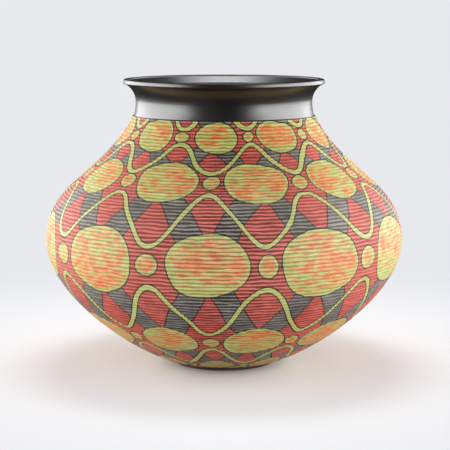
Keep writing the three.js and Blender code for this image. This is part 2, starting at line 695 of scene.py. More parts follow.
@dataclass(frozen=True)
class Colour:
    """A colour as a screen shows it, with each part from 0 to 255."""

    red: int
    green: int
    blue: int

    def linear(self) -> tuple[float, float, float, float]:
        """Turns the colour into the linear form that the shaders take.

        Returns:
            Its red, green, blue and alpha.
        """
        shares = [part / 255 for part in (self.red, self.green, self.blue)]
        parts = [s / 12.92 if s <= 0.04045 else ((s + 0.055) / 1.055) ** 2.4 for s in shares]
        return parts[0], parts[1], parts[2], 1.0


@dataclass(frozen=True)
class Tones:
    """Two tones of a slip or a clay, and where in a noise the first turns into the second."""

    first: Colour
    second: Colour
    low: float = 0.35
    high: float = 0.65


@dataclass(frozen=True)
class Noise:
    """A noise from 0 to 1 with a mean of a half.

    It has a number of features in a metre and some finer layers, which are the stronger the rougher it
    is. The stretch draws its features out round the jar.
    """

    features: float
    layers: float = 3.0
    roughness: float = 0.5
    stretch: float = 1.0


class Follows(Enum):
    """What the noises of a finish lie on."""

    SKIN = "the wall's skin, which is kept at the vertices"
    FRAME = "the jar's frame"


Value = Socket | Colour | float | tuple


class Sheet:
    """A material with its sheet of nodes, and a short method for each kind of node that the finishes use."""

    def __init__(self, name: str, follows: Follows = Follows.FRAME) -> None:
        """Starts a material with only its main shader.

        Args:
            name: The material's name.
            follows: What its noises lie on.
        """
        self.material = bpy.data.materials.new(name)
        self.material.use_nodes = True
        self.nodes = self.material.node_tree.nodes
        self.links = self.material.node_tree.links
        self.shader = self.nodes["Principled BSDF"]
        self.follows = follows

    def feed(self, socket: Socket, value: Value) -> None:
        """Links a socket to an input, or sets the input to a plain value.

        Args:
            socket: The input.
            value: What it gets.
        """
        if isinstance(value, bpy.types.NodeSocket):
            self.links.new(value, socket)
        elif isinstance(value, Colour):
            socket.default_value = value.linear()
        else:
            socket.default_value = value

    def node(self, kind: str, output: str, inputs: dict[str | int, Value], **settings: str) -> Socket:
        """Adds a node.

        Args:
            kind: The kind of shader node.
            output: The output that is wanted.
            inputs: What its inputs get.
            settings: Its settings, which are made before its inputs are fed.

        Returns:
            The output.
        """
        node = self.nodes.new(f"ShaderNode{kind}")
        for name, setting in settings.items():
            setattr(node, name, setting)
        for name, value in inputs.items():
            self.feed(node.inputs[name], value)
        return node.outputs[output]

    def attribute(self, name: str, output: str = "Fac") -> Socket:
        """Returns a number, or with the output Vector a vector, that the vertices keep under a name."""
        return self.node("Attribute", output, {}, attribute_name=name)

    def place(self) -> Socket:
        """Returns the place that the noises lie on."""
        on_skin = self.follows is Follows.SKIN
        return self.attribute("skin", "Vector") if on_skin else self.node("TexCoord", "Object", {})

    def noise(self, noise: Noise) -> Socket:
        """Adds a noise.

        Args:
            noise: What it is like.

        Returns:
            Its value.
        """
        place = {"Vector": self.place(), "Scale": (1, 1, noise.stretch)}
        inputs = {
            "Vector": self.node("Mapping", "Vector", place),
            "Scale": noise.features,
            "Detail": noise.layers,
            "Roughness": noise.roughness,
        }
        return self.node("TexNoise", "Fac", inputs)

    def math(self, operation: str, *numbers: Socket | float) -> Socket:
        """Returns the result of an operation on numbers."""
        return self.node("Math", "Value", dict(enumerate(numbers)), operation=operation)

    def total(self, *terms: tuple[Socket | float, float]) -> Socket | float:
        """Adds up numbers.

        Args:
            terms: The numbers, each with the factor that it is multiplied by.

        Returns:
            The sum.
        """
        result: Socket | float = 0.0
        for number, factor in terms:
            result = self.math("MULTIPLY_ADD", number, factor, result)
        return result

    def varied(self, noise: Noise, mean: float, change: float) -> Socket:
        """Returns a number with a mean, which a noise varies by a change in all."""
        return self.total((self.noise(noise), change), (mean - change / 2, 1.0))

    def shared(self, first: Socket, second: Socket, share: float) -> Socket:
        """Returns a mix of two numbers, in which the first has a share and the second the rest."""
        return self.total((first, share), (second, 1 - share))

    def beside(self, distance: Socket, half: Socket | float) -> Socket:
        """Returns the distance outside a line, from the distance to its middle and half its width."""
        return self.math("SUBTRACT", self.math("ABSOLUTE", distance), half)

    def spread(self, number: Socket, low: float, high: float) -> Socket:
        """Adds a smooth step.

        Args:
            number: The number that is read.
            low: Where the step begins.
            high: Where it ends, which may be below low.

        Returns:
            A number that goes from 0 to 1 over the step.
        """
        falls = high < low
        inputs = {
            "Value": number,
            "From Min": min(low, high),
            "From Max": max(low, high),
            "To Min": float(falls),
            "To Max": float(not falls),
        }
        return self.node("MapRange", "Result", inputs, interpolation_type="SMOOTHSTEP")

    def inside(self, distance: Socket, soft: float) -> Socket:
        """Returns 1 where a distance is negative and 0 where it is positive, with a soft edge."""
        return self.spread(distance, soft, -soft)

    def mix(self, factor: Value, first: Value, second: Value, blend: str = "MIX") -> Socket:
        """Returns the first colour where the factor is 0, and where it is 1 the second laid on the first."""
        inputs = {"Factor": factor, "A": first, "B": second}
        return self.node("Mix", "Result", inputs, data_type="RGBA", blend_type=blend)

    def toned(self, tones: Tones, noise: Socket) -> Socket:
        """Returns the colour between two tones that a noise gives."""
        return self.mix(self.spread(noise, tones.low, tones.high), tones.first, tones.second)

    def bump(self, height: Socket, distance: float, strength: float) -> Socket:
        """Returns a normal that is bent by a height, where 1 stands for a distance in metres."""
        return self.node("Bump", "Normal", {"Height": height, "Distance": distance, "Strength": strength})

    def shaded(self, inputs: dict[str, Value]) -> bpy.types.Material:
        """Feeds the main shader.

        Args:
            inputs: What its inputs get.

        Returns:
            The finished material.
        """
        for name, value in inputs.items():
            self.feed(self.shader.inputs[name], value)
        return self.material


@dataclass(frozen=True)
class SlipFinish:
    """Matte coloured slips, brushed on in layers, with incised outlines and painted shade in the grooves.

    Widths and edges are in metres. The rougher_ values add to the roughness, a _share is the part that one
    noise has in a mix of two, and a _weight is how much one thing helps to turn an oval orange. The paler_
    values are the shares of the painted groove shade that the grooves lose.
    """

    red: Tones = Tones(Colour(204, 76, 62), Colour(219, 106, 90), 0.36, 0.64)
    charcoal: Tones = Tones(Colour(109, 104, 98), Colour(144, 138, 131), 0.36, 0.64)
    lime: Tones = Tones(Colour(174, 182, 92), Colour(198, 200, 120))
    orange: Tones = Tones(Colour(230, 116, 62), Colour(220, 162, 90), 0.4, 0.6)
    incised: Colour = Colour(46, 37, 32)
    # Painted shade: the grooves are tinted darker with these two colours, to stand for the shade that falls
    # into them.
    groove_shade: Colour = Colour(126, 108, 100)
    charcoal_groove_shade: Colour = Colour(92, 84, 78)
    # Painted sheen: a pale colour laid over the slips in a band about the belly, as if they mirrored a light
    # there.
    painted_sheen: Colour = Colour(240, 230, 215)
    strongest_painted_sheen: float = 0.1
    sheen: float = 0.09
    sheen_roughness: float = 0.4
    soft_edge: float = 0.00016
    fray: float = 0.0012
    wave_half: float = 0.0018
    wave_change: float = 0.0014
    rim_width: float = 0.0024
    rim_edge: float = 0.0006
    incised_half: float = 0.0005
    groove_half: float = 0.0009
    groove_change: float = 0.0024
    groove_edge: float = 0.00022
    narrower_on_ovals: float = 0.00014
    narrower_on_waves: float = 0.0004
    paler_on_ovals: float = 0.38
    paler_on_waves: float = 0.5
    paler_where_worn: float = 0.3
    # Painted light: the groove shade is paler at the left and right sides, as if the side lamps lit the
    # grooves.
    less_shade_on_lit_sides: float = 0.62
    orange_from: float = 0.655
    orange_to: float = 0.815
    clouds_weight: float = 0.6
    warmth_weight: float = 0.04
    share_weight: float = -0.08
    brushed_share: float = 0.6
    roughness: float = 0.5
    rougher_by_grain: float = 0.16
    rougher_in_grooves: float = 0.18
    relief: float = 0.0003
    relief_strength: float = 0.55
    grain_share: float = 0.35
    grain: Noise = Noise(1500, 4, 0.65)
    brush_ridges: Noise = Noise(170, stretch=4.0)
    brushed: Noise = Noise(95, 4, 0.6, stretch=3.0)
    brushed_clouds: Noise = Noise(22, 2)
    frayed_edges: Noise = Noise(380, 2)
    wave_swelling: Noise = Noise(45, 2)
    wave_mottling: Noise = Noise(120)
    oval_mottling: Noise = Noise(130, stretch=2.0)
    orange_dabs: Noise = Noise(92, 2.5, 0.6, stretch=4.6)
    orange_clouds: Noise = Noise(38, 2)
    uneven_grooves: Noise = Noise(62, 3, 0.6, stretch=4.5)

    def material(self) -> bpy.types.Material:
        """Makes the finish.

        Returns:
            The material, which reads the attributes that the walls keep at their vertices.
        """
        sheet = Sheet("painted slip", Follows.SKIN)
        frayed = sheet.varied(self.frayed_edges, 0.0, self.fray)
        lines = ("net", "wave", "disc")
        net, wave, disc = (sheet.math("ADD", sheet.attribute(name), frayed) for name in lines)
        on_oval = sheet.inside(disc, self.soft_edge)
        wave_half = sheet.varied(self.wave_swelling, self.wave_half, self.wave_change)
        beside_wave = sheet.beside(wave, wave_half)
        on_wave = sheet.inside(beside_wave, self.soft_edge)
        paint = self.ground(sheet, net)
        paint = self.waves(sheet, paint, beside_wave, on_wave)
        paint = self.ovals(sheet, paint, disc, on_oval)
        # Painted sheen: the slips are turned paler in a band about the belly.
        painted_sheen_share = sheet.math("MULTIPLY", sheet.attribute("painted_sheen"), self.strongest_painted_sheen)
        paint = sheet.mix(painted_sheen_share, paint, self.painted_sheen)
        only_wave = sheet.math("MULTIPLY", on_wave, sheet.math("SUBTRACT", 1.0, on_oval))
        uncovered = sheet.total((1.0, 1.0), (on_oval, -1.0), (only_wave, -1.0))
        only_band = sheet.math("MULTIPLY", sheet.inside(net, self.soft_edge), uncovered)
        groove, groove_shade_strength = self.grooves(sheet, on_oval, only_wave)
        # Painted shade: the grooves are darkened by a dusky tint, darker on the charcoal bands, for the
        # shade in them.
        groove_shade = sheet.mix(only_band, self.groove_shade, self.charcoal_groove_shade)
        groove_shaded_paint = sheet.mix(1.0, paint, groove_shade, "MULTIPLY")
        colour = sheet.mix(sheet.math("MULTIPLY", groove, groove_shade_strength), paint, groove_shaded_paint)
        grain = sheet.noise(self.grain)
        roughness = sheet.total(
            (self.roughness, 1.0),
            (grain, self.rougher_by_grain),
            (groove, self.rougher_in_grooves),
        )
        relief = sheet.shared(grain, sheet.noise(self.brush_ridges), self.grain_share)
        inputs = {
            "Base Color": colour,
            "Roughness": roughness,
            "Normal": sheet.bump(relief, self.relief, self.relief_strength),
            "Sheen Weight": self.sheen,
            "Sheen Roughness": self.sheen_roughness,
        }
        return sheet.shaded(inputs)

    def ground(self, sheet: Sheet, net: Socket) -> Socket:
        """Paints the red ground and the charcoal bands with their incised outlines.

        Args:
            sheet: The material's sheet.
            net: The distance outside the bands.

        Returns:
            The colour.
        """
        clouds = sheet.noise(self.brushed_clouds)
        tone = sheet.shared(sheet.noise(self.brushed), clouds, self.brushed_share)
        on_band = sheet.inside(net, self.soft_edge)
        colour = sheet.mix(on_band, sheet.toned(self.red, tone), sheet.toned(self.charcoal, tone))
        on_line = sheet.inside(sheet.beside(net, self.incised_half), self.soft_edge)
        return sheet.mix(on_line, colour, self.incised)

    def laid_on(
        self,
        sheet: Sheet,
        ground: Socket,
        outside: Socket,
        on_shape: Socket,
        colour: Socket,
    ) -> Socket:
        """Lays a painted shape and its incised outline on the ground.

        Args:
            sheet: The material's sheet.
            ground: The colour so far.
            outside: The distance outside the shape.
            on_shape: 1 on the shape and 0 beside it.
            colour: The shape's colour.

        Returns:
            The colour.
        """
        beside_line = sheet.math("SUBTRACT", outside, 2 * self.incised_half)
        lined = sheet.mix(sheet.inside(beside_line, self.soft_edge), ground, self.incised)
        return sheet.mix(on_shape, lined, colour)

    def waves(self, sheet: Sheet, ground: Socket, outside: Socket, on_wave: Socket) -> Socket:
        """Paints the lime waves over the ground.

        Args:
            sheet: The material's sheet.
            ground: The colour so far.
            outside: The distance outside a wave.
            on_wave: 1 on the waves and 0 beside them.

        Returns:
            The colour.
        """
        lime = sheet.mix(sheet.noise(self.wave_mottling), self.lime.first, self.lime.second)
        return self.laid_on(sheet, ground, outside, on_wave, lime)

    def ovals(self, sheet: Sheet, ground: Socket, outside: Socket, on_oval: Socket) -> Socket:
        """Paints the mottled ovals and beads over the ground, each with a lime rim.

        Args:
            sheet: The material's sheet.
            ground: The colour so far.
            outside: The distance outside an oval.
            on_oval: 1 on the ovals and 0 beside them.

        Returns:
            The colour.
        """
        tint = sheet.noise(self.oval_mottling)
        lime = sheet.toned(self.lime, tint)
        orange = sheet.toned(self.orange, tint)
        warmth = sheet.total(
            (sheet.noise(self.orange_dabs), 1.0),
            (sheet.noise(self.orange_clouds), self.clouds_weight),
            (sheet.attribute("warmth"), self.warmth_weight),
            (sheet.attribute("share"), self.share_weight),
        )
        body = sheet.mix(sheet.spread(warmth, self.orange_from, self.orange_to), lime, orange)
        inner = sheet.math("ADD", outside, self.rim_width)
        body = sheet.mix(sheet.inside(inner, self.rim_edge), lime, body)
        return self.laid_on(sheet, ground, outside, on_oval, body)

    def grooves(self, sheet: Sheet, on_oval: Socket, on_wave: Socket) -> tuple[Socket, Socket]:
        """Finds where shade is painted into the grooves, and how strongly.

        Args:
            sheet: The material's sheet.
            on_oval: 1 on the ovals and 0 beside them.
            on_wave: 1 on the waves and 0 beside them.

        Returns:
            1 in the grooves, and the strength of the painted shade.
        """
        half = sheet.total(
            (sheet.varied(self.uneven_grooves, self.groove_half, self.groove_change), 1.0),
            (on_oval, -self.narrower_on_ovals),
            (on_wave, -self.narrower_on_waves),
        )
        groove = sheet.inside(sheet.math("SUBTRACT", sheet.attribute("rib"), half), self.groove_edge)
        by_slip = sheet.total(
            (1.0, 1.0),
            (on_oval, -self.paler_on_ovals),
            (on_wave, -self.paler_on_waves),
        )
        by_place = sheet.total(
            (1.0, 1.0),
            (sheet.attribute("worn"), -self.paler_where_worn),
            # Painted light: less groove shade at the sides that face the side lamps.
            (sheet.attribute("lit_sides"), -self.less_shade_on_lit_sides),
        )
        return groove, sheet.math("MULTIPLY", by_slip, by_place)


@dataclass(frozen=True)
class BurnishedFinish:
    """Dark brown-black clay, rubbed to a soft gloss in level strokes.

    The rougher_ values add to the roughness, and the streaks have their share of the relief.
    """

    clay: Tones = Tones(Colour(10, 9, 8), Colour(22, 18, 15), 0.35, 0.7)
    streaks: Noise = Noise(9, 4, 0.6, stretch=40.0)
    clouds: Noise = Noise(26)
    grain: Noise = Noise(700)
    roughness: float = 0.21
    rougher_by_streaks: float = 0.16
    rougher_by_clouds: float = 0.1
    relief: float = 0.00025
    relief_strength: float = 0.35
    streak_share: float = 0.7
    gloss: float = 2.0

    def material(self) -> bpy.types.Material:
        """Makes the finish.

        Returns:
            The material, whose gloss is its index of refraction.
        """
        sheet = Sheet("burnished clay")
        streaks = sheet.noise(self.streaks)
        clouds = sheet.noise(self.clouds)
        roughness = sheet.total(
            (self.roughness, 1.0),
            (streaks, self.rougher_by_streaks),
            (clouds, self.rougher_by_clouds),
        )
        relief = sheet.shared(streaks, sheet.noise(self.grain), self.streak_share)
        inputs = {
            "Base Color": sheet.toned(self.clay, clouds),
            "Roughness": roughness,
            "Normal": sheet.bump(relief, self.relief, self.relief_strength),
            "IOR": self.gloss,
        }
        return sheet.shaded(inputs)


@dataclass(frozen=True)
class BareFinish:
    """Unglazed clay, dark and grainy, in which the clouds have their share of the colour."""

    clay: Tones = Tones(Colour(62, 46, 40), Colour(92, 71, 60))
    clouds: Noise = Noise(30, 4, 0.6, stretch=3.0)
    grain: Noise = Noise(1100, 3, 0.7)
    cloud_share: float = 0.7
    roughness: float = 0.75
    rougher_by_grain: float = 0.2
    relief: float = 0.0003
    relief_strength: float = 0.6

    def material(self) -> bpy.types.Material:
        """Makes the finish.

        Returns:
            The material.
        """
        sheet = Sheet("bare clay")
        grain = sheet.noise(self.grain)
        tone = sheet.shared(sheet.noise(self.clouds), grain, self.cloud_share)
        roughness = sheet.total((self.roughness, 1.0), (grain, self.rougher_by_grain))
        inputs = {
            "Base Color": sheet.toned(self.clay, tone),
            "Roughness": roughness,
            "Normal": sheet.bump(grain, self.relief, self.relief_strength),
        }
        return sheet.shaded(inputs)


@dataclass(frozen=True)
class Clays:
    """The jar's finishes, each made once."""

    painted: bpy.types.Material
    burnished: bpy.types.Material
    bare: bpy.types.Material

    @classmethod
    def mixed(cls) -> "Clays":
        """Returns the finishes."""
        return cls(SlipFinish().material(), BurnishedFinish().material(), BareFinish().material())


def hand_over(piece: bpy.types.Object, node: str) -> bpy.types.Object:
    """Lets a finished piece stand for its solid.

    Args:
        piece: The piece.
        node: The solid that it replaces.

    Returns:
        The piece.
    """
    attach(piece, BODY)
    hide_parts(node)
    return piece


@dataclass(frozen=True)
class Ribs:
    """Even ribs along a stretch of the wall line, which starts and ends in the middle of a groove.

    Each has rings of vertices at its phases, from groove to groove, and they are cut to its cuts, as shares
    of the full depth. The count of ribs comes from the pitch that is wanted. The slack keeps the grooves at
    the two ends, which rounding would otherwise put beyond the stretch.
    """

    start: float
    end: float
    wanted_pitch: float = 0.0033
    phases: tuple[float, ...] = (0.0, 0.28, 0.5, 0.72)
    cuts: tuple[float, ...] = (1.0, 0.14, 0.0, 0.14)
    end_slack: float = 0.0004

    @property
    def count(self) -> int:
        """How many ribs there are."""
        return round((self.end - self.start) / self.wanted_pitch)

    @property
    def pitch(self) -> float:
        """The distance from groove to groove."""
        return (self.end - self.start) / self.count

    def rings(self) -> np.ndarray:
        """Returns the distances of the rings of vertices along the wall line."""
        steps = [rib + phase for rib in range(self.count) for phase in self.phases]
        return np.array([*(self.start + self.pitch * step for step in steps), self.end])

    def beyond(self, distance: np.ndarray) -> np.ndarray:
        """Returns how far places lie beyond the stretch, which is negative inside it."""
        return np.maximum(self.start - distance, distance - self.end)

    def from_groove(self, distance: np.ndarray) -> np.ndarray:
        """Returns how far places lie from the middle of the nearest groove."""
        inside = np.abs((distance - self.start + self.pitch / 2) % self.pitch - self.pitch / 2)
        return np.maximum(inside, self.beyond(distance))

    def cut(self, distance: np.ndarray) -> np.ndarray:
        """Finds how deep the wall is cut.

        Args:
            distance: The distances along the wall line.

        Returns:
            The depths, as shares of the full depth, and 0 beyond the stretch.
        """
        phase = ((distance - self.start) / self.pitch) % 1
        shares = np.interp(phase, [*self.phases, 1.0], [*self.cuts, self.cuts[0]])
        return np.where(self.beyond(distance) > self.end_slack, 0.0, shares)


@dataclass
class Walls:
    """The two ribbed sections of the wall, from the foot to the belly and from the belly to the neck.

    The grooves sway, and their depth is uneven. The lost_ values are the shares of that depth that are lost
    where the grooves are worn, near the foot, at the left and right sides that face the side lamps, and
    under slips. At those sides the grooves are also painted paler, as if the lamps lit them.
    What is worn is told by the distance along the wall line, and so is the painted sheen, a pale band about
    the belly.
    """

    sizes: JarSizes
    line: WallLine
    clays: Clays
    wheel: Wheel
    pattern: SlipPattern = SlipPattern()
    foot_margin: float = 0.0014
    neck_margin: float = 0.0018
    inside_steps: int = 22
    finger_depth: float = 0.0004
    finger_pitch: float = 0.011
    skin_within: float = 0.0002
    sway: float = 0.00038
    edge_fade: float = 0.006
    groove_sway: Wander = Wander(seed=21, across=0.032, along=0.02)
    groove_strength: Wander = Wander(seed=22, across=0.05, along=0.01)
    mean_strength: float = 0.9
    strength_change: float = 0.15
    worn_below: float = 0.105
    lost_where_worn: float = 0.4
    lost_on_lit_sides: float = 0.3
    lost_on_ovals: float = 0.35
    lost_on_waves: float = 0.3
    oval_edge: float = 0.001
    wave_edge: tuple[float, float] = (0.004, 0.001)
    painted_sheen_at: float = 0.185
    painted_sheen_reach: float = 0.045

    def skin(self, ribs: Ribs) -> list[Point]:
        """Returns the rings of vertices along a ribbed stretch, in order upwards, with nothing cut yet."""
        return self.line.trace(ribs.rings(), np.zeros_like(ribs.rings()))

    def inner_face(self, ribs: Ribs) -> list[Point]:
        """Traces the inner face behind a ribbed stretch, with the faint ridges that fingers leave.

        Args:
            ribs: The stretch.

        Returns:
            The points, in order downwards.
        """
        distances = np.linspace(ribs.end, ribs.start, self.inside_steps + 1)
        ridges = self.finger_depth * np.sin(TURN * distances / self.finger_pitch)
        return self.line.trace(distances, self.sizes.wall_thickness + ridges)

    def build_lower(self) -> bpy.types.Object:
        """Builds the lower wall, a bowl from the foot to the belly.

        Returns:
            The piece.
        """
        sizes = self.sizes
        edge = sizes.belly_height
        ribs = Ribs(self.foot_margin, self.line.belly)
        skin = self.skin(ribs)
        inner = [point for point in self.inner_face(ribs) if point[1] > sizes.floor_top]
        outline = [
            (sizes.floor_edge, sizes.floor_bottom),
            (sizes.foot_radius, sizes.floor_bottom),
            *skin[:-1],
            (skin[-1][0], edge),
            *sizes.belly_seam.tongue(edge, Way.UP),
            (inner[0][0], edge),
            *inner[1:],
            (sizes.floor_edge, sizes.floor_top),
        ]
        piece = self.wheel.throw("lower_wall_slipped", outline)
        self.finish(piece, ribs, (0.0, ribs.end))
        return hand_over(piece, "lower_wall")

    def build_shoulder(self) -> bpy.types.Object:
        """Builds the shoulder wall, from the belly to the neck.

        Returns:
            The piece.
        """
        sizes = self.sizes
        edge = sizes.belly_height
        top = sizes.shoulder_height
        ribs = Ribs(self.line.belly, self.line.length - self.neck_margin)
        skin = self.skin(ribs)
        inner = [point for point in self.inner_face(ribs) if point[0] > sizes.throat_radius]
        outline = [
            (skin[0][0], edge),
            *skin[1:],
            (sizes.shoulder_radius, top),
            *sizes.neck_seam.groove(top, Way.DOWN),
            (sizes.throat_radius, top),
            *inner[:-1],
            (inner[-1][0], edge),
            *reversed(sizes.belly_seam.groove(edge, Way.UP)),
        ]
        piece = self.wheel.throw("shoulder_wall_slipped", outline)
        self.finish(piece, ribs, (ribs.start, self.line.length))
        return hand_over(piece, "shoulder_wall")

    def finish(self, piece: bpy.types.Object, ribs: Ribs, edges: tuple[float, float]) -> None:
        """Cuts swaying grooves into a wall, notes the pattern and dresses the piece.

        Args:
            piece: The wall, still smooth outside.
            ribs: Its ribs.
            edges: The distances of its edges along the wall line, at which nothing sways.
        """
        places = corners_of(piece)
        radius = np.hypot(places[:, 0], places[:, 1])
        angle = np.arctan2(places[:, 0], -places[:, 1])
        distance = self.line.at_height(places[:, 2])
        on_skin = np.abs(radius - self.line.place(distance)[0]) < self.skin_within
        distance = np.where(on_skin, distance, edges[0])
        fade = ease(np.minimum(distance - edges[0], edges[1] - distance), 0.0, self.edge_fade)
        sway = self.groove_sway.at(angle, distance, self.sizes.belly_radius)
        moved = distance + self.sway * fade * sway
        marks = self.pattern.measure(self.line, angle, moved)
        marks["rib"] = ribs.from_groove(distance)
        marks["worn"] = ease(moved, self.worn_below, self.worn_below / 2)
        # Painted light: the left and right sides, which face the side lamps, get paler grooves, and the
        # grooves are cut shallower there too.
        marks["lit_sides"] = np.abs(np.sin(angle))
        # Painted sheen: a band about the belly, strongest at its middle.
        marks["painted_sheen"] = np.exp(-(((moved - self.painted_sheen_at) / self.painted_sheen_reach) ** 2))
        depth = self.sizes.groove_depth * ribs.cut(distance) * self.strength(angle, moved, marks)
        radius, height = self.line.into_clay(moved, depth)
        grooved = np.column_stack([radius * np.sin(angle), -radius * np.cos(angle), height])
        marks["skin"] = np.column_stack([grooved[:, 0], grooved[:, 1], moved])
        put_corners(piece, np.where(on_skin[:, None], grooved, places))
        for name, values in marks.items():
            note(piece, name, values)
        dress(piece, self.clays.painted, self.clays.bare)
        for face in piece.data.polygons:
            outside = all(on_skin[corner] for corner in face.vertices)
            face.material_index = Face.OUTSIDE.value if outside else Face.INSIDE.value

    def strength(self, angle: np.ndarray, distance: np.ndarray, marks: dict[str, np.ndarray]) -> np.ndarray:
        """Finds how much of their depth the grooves have at places on the wall.

        Args:
            angle: The angles round the jar.
            distance: The distances along the wall line.
            marks: What the pattern and the wear say of the places.

        Returns:
            The shares of the full depth.
        """
        uneven = self.groove_strength.at(angle, distance, self.sizes.belly_radius)
        strength = np.minimum(self.mean_strength + self.strength_change * uneven, 1)
        on_oval = ease(marks["disc"], self.oval_edge, -self.oval_edge)
        on_wave = ease(np.abs(marks["wave"]), *self.wave_edge)
        strength = strength * (1 - self.lost_where_worn * marks["worn"])
        strength = strength * (1 - self.lost_on_lit_sides * marks["lit_sides"])
        return strength * (1 - self.lost_on_ovals * on_oval - self.lost_on_waves * on_wave)


@dataclass
class Neck:
    """The burnished neck and its lip."""

    sizes: JarSizes
    clays: Clays
    wheel: Wheel
    curve_steps: int = 20
    edge_steps: int = 6
    foot_flare: float = 0.0008
    foot_flare_rise: float = 0.0016
    lip_bulge: float = 0.0075
    lip_lower_rounding: float = 0.0008
    lip_upper_rounding: float = 0.0009

    @property
    def flare_centre(self) -> Point:
        """The centre that the flare's outer and inner lines share."""
        radius, height = self.sizes.waist
        return radius + self.sizes.flare_radius, height

    @property
    def inner_flare_radius(self) -> float:
        """The radius of the flare's inner line about that centre."""
        return self.sizes.flare_radius + self.sizes.neck_thickness

    @property
    def seam_height(self) -> float:
        """The height of the seam under the lip."""
        return self.flare_centre[1] + self.sizes.flare_radius * math.sin(self.sizes.lip_seam_sweep)

    def flare_angle(self, radius: float, height: float) -> float:
        """Returns the angle about the flare's centre at which a line of that radius reaches a height."""
        return math.pi - math.asin((height - self.flare_centre[1]) / radius)

    def flare_reach(self, radius: float, height: float) -> float:
        """Returns the jar's radius where a line of the flare reaches a height."""
        return self.flare_centre[0] + radius * math.cos(self.flare_angle(radius, height))

    def flare_line(self, radius: float, start: float, end: float, steps: int) -> list[Point]:
        """Traces a line of the flare.

        Args:
            radius: The line's radius about the flare's centre.
            start: The height that it starts at.
            end: The height that it ends at.
            steps: How many steps it takes.

        Returns:
            The points, in order.
        """
        angles = self.flare_angle(radius, start), self.flare_angle(radius, end)
        return arc(self.flare_centre, radius, *angles, steps)

    def foot_line(self, radius: float) -> list[Point]:
        """Traces the small flare at the neck's foot.

        Args:
            radius: The radius that it narrows to.

        Returns:
            The points, in order upwards.
        """
        points = []
        for share in np.linspace(0, 1, self.edge_steps + 1):
            reach = radius + self.foot_flare * (1 - share) ** 2
            points.append((reach, self.sizes.shoulder_height + self.foot_flare_rise * share))
        return points

    def lip_seam(self) -> Seam:
        """Finds the seam under the lip, midway through the flare's clay at half of the tongue's height.

        Returns:
            The seam.
        """
        height = self.seam_height - self.sizes.tongue_height / 2
        outer = self.flare_reach(self.sizes.flare_radius, height)
        inner = self.flare_reach(self.inner_flare_radius, height)
        return self.sizes.seam((outer + inner) / 2, self.sizes.neck_thickness)

    def build_collar(self) -> bpy.types.Object:
        """Builds the neck: a shallow hollow that turns into the flare.

        Returns:
            The piece.
        """
        sizes = self.sizes
        bottom = sizes.shoulder_height
        top = self.seam_height
        waist_radius, waist_height = sizes.waist
        hollow = (sizes.hollow_rise**2 + sizes.hollow_depth**2) / (2 * sizes.hollow_depth)
        start = math.pi + math.asin((waist_height - bottom - self.foot_flare_rise) / hollow)
        hollow_line = arc((waist_radius + hollow, waist_height), hollow, start, math.pi, self.curve_steps)
        outline = [
            *self.foot_line(hollow_line[0][0])[:-1],
            *hollow_line,
            *self.flare_line(sizes.flare_radius, waist_height, top, self.curve_steps)[1:],
            *self.lip_seam().groove(top, Way.DOWN),
            *self.flare_line(self.inner_flare_radius, top, waist_height, self.curve_steps),
            (sizes.throat_radius, bottom),
            *reversed(sizes.neck_seam.tongue(bottom, Way.DOWN)),
        ]
        piece = self.wheel.throw("neck_collar_burnished", outline)
        dress(piece, self.clays.burnished)
        return hand_over(piece, "neck_collar")

    def build_lip(self) -> bpy.types.Object:
        """Builds the lip: the end of the flare, with a face that curves inwards a little and rounded edges.

        Returns:
            The piece.
        """
        sizes = self.sizes
        bottom = self.seam_height
        top = sizes.lip_top
        face_bottom = top - sizes.lip_face_height
        bulge = self.lip_bulge
        lower = self.lip_lower_rounding
        upper = self.lip_upper_rounding
        edge = sizes.lip_edge_radius
        lean = math.asin((sizes.lip_face_height - lower - upper) / (bulge - upper))
        lower_centre = (sizes.lip_radius - lower, face_bottom + lower)
        face_centre = (sizes.lip_radius - bulge, face_bottom + lower)
        upper_centre = (face_centre[0] + (bulge - upper) * math.cos(lean), top - upper)
        inner_centre = (sizes.lip_radius - sizes.lip_top_width + edge, top - edge)
        outline = [
            *self.flare_line(sizes.flare_radius, bottom, face_bottom, self.edge_steps),
            *arc(lower_centre, lower, -QUARTER, 0, self.edge_steps),
            *arc(face_centre, bulge, 0, lean, self.edge_steps)[1:],
            *arc(upper_centre, upper, lean, QUARTER, self.edge_steps)[1:],
            *arc(inner_centre, edge, QUARTER, 2 * QUARTER, self.edge_steps),
            (self.flare_reach(self.inner_flare_radius, bottom), bottom),
            *reversed(self.lip_seam().tongue(bottom, Way.DOWN)),
        ]
        piece = self.wheel.throw("rim_lip_burnished", outline)
        dress(piece, self.clays.burnished)
        return hand_over(piece, "rim_lip")


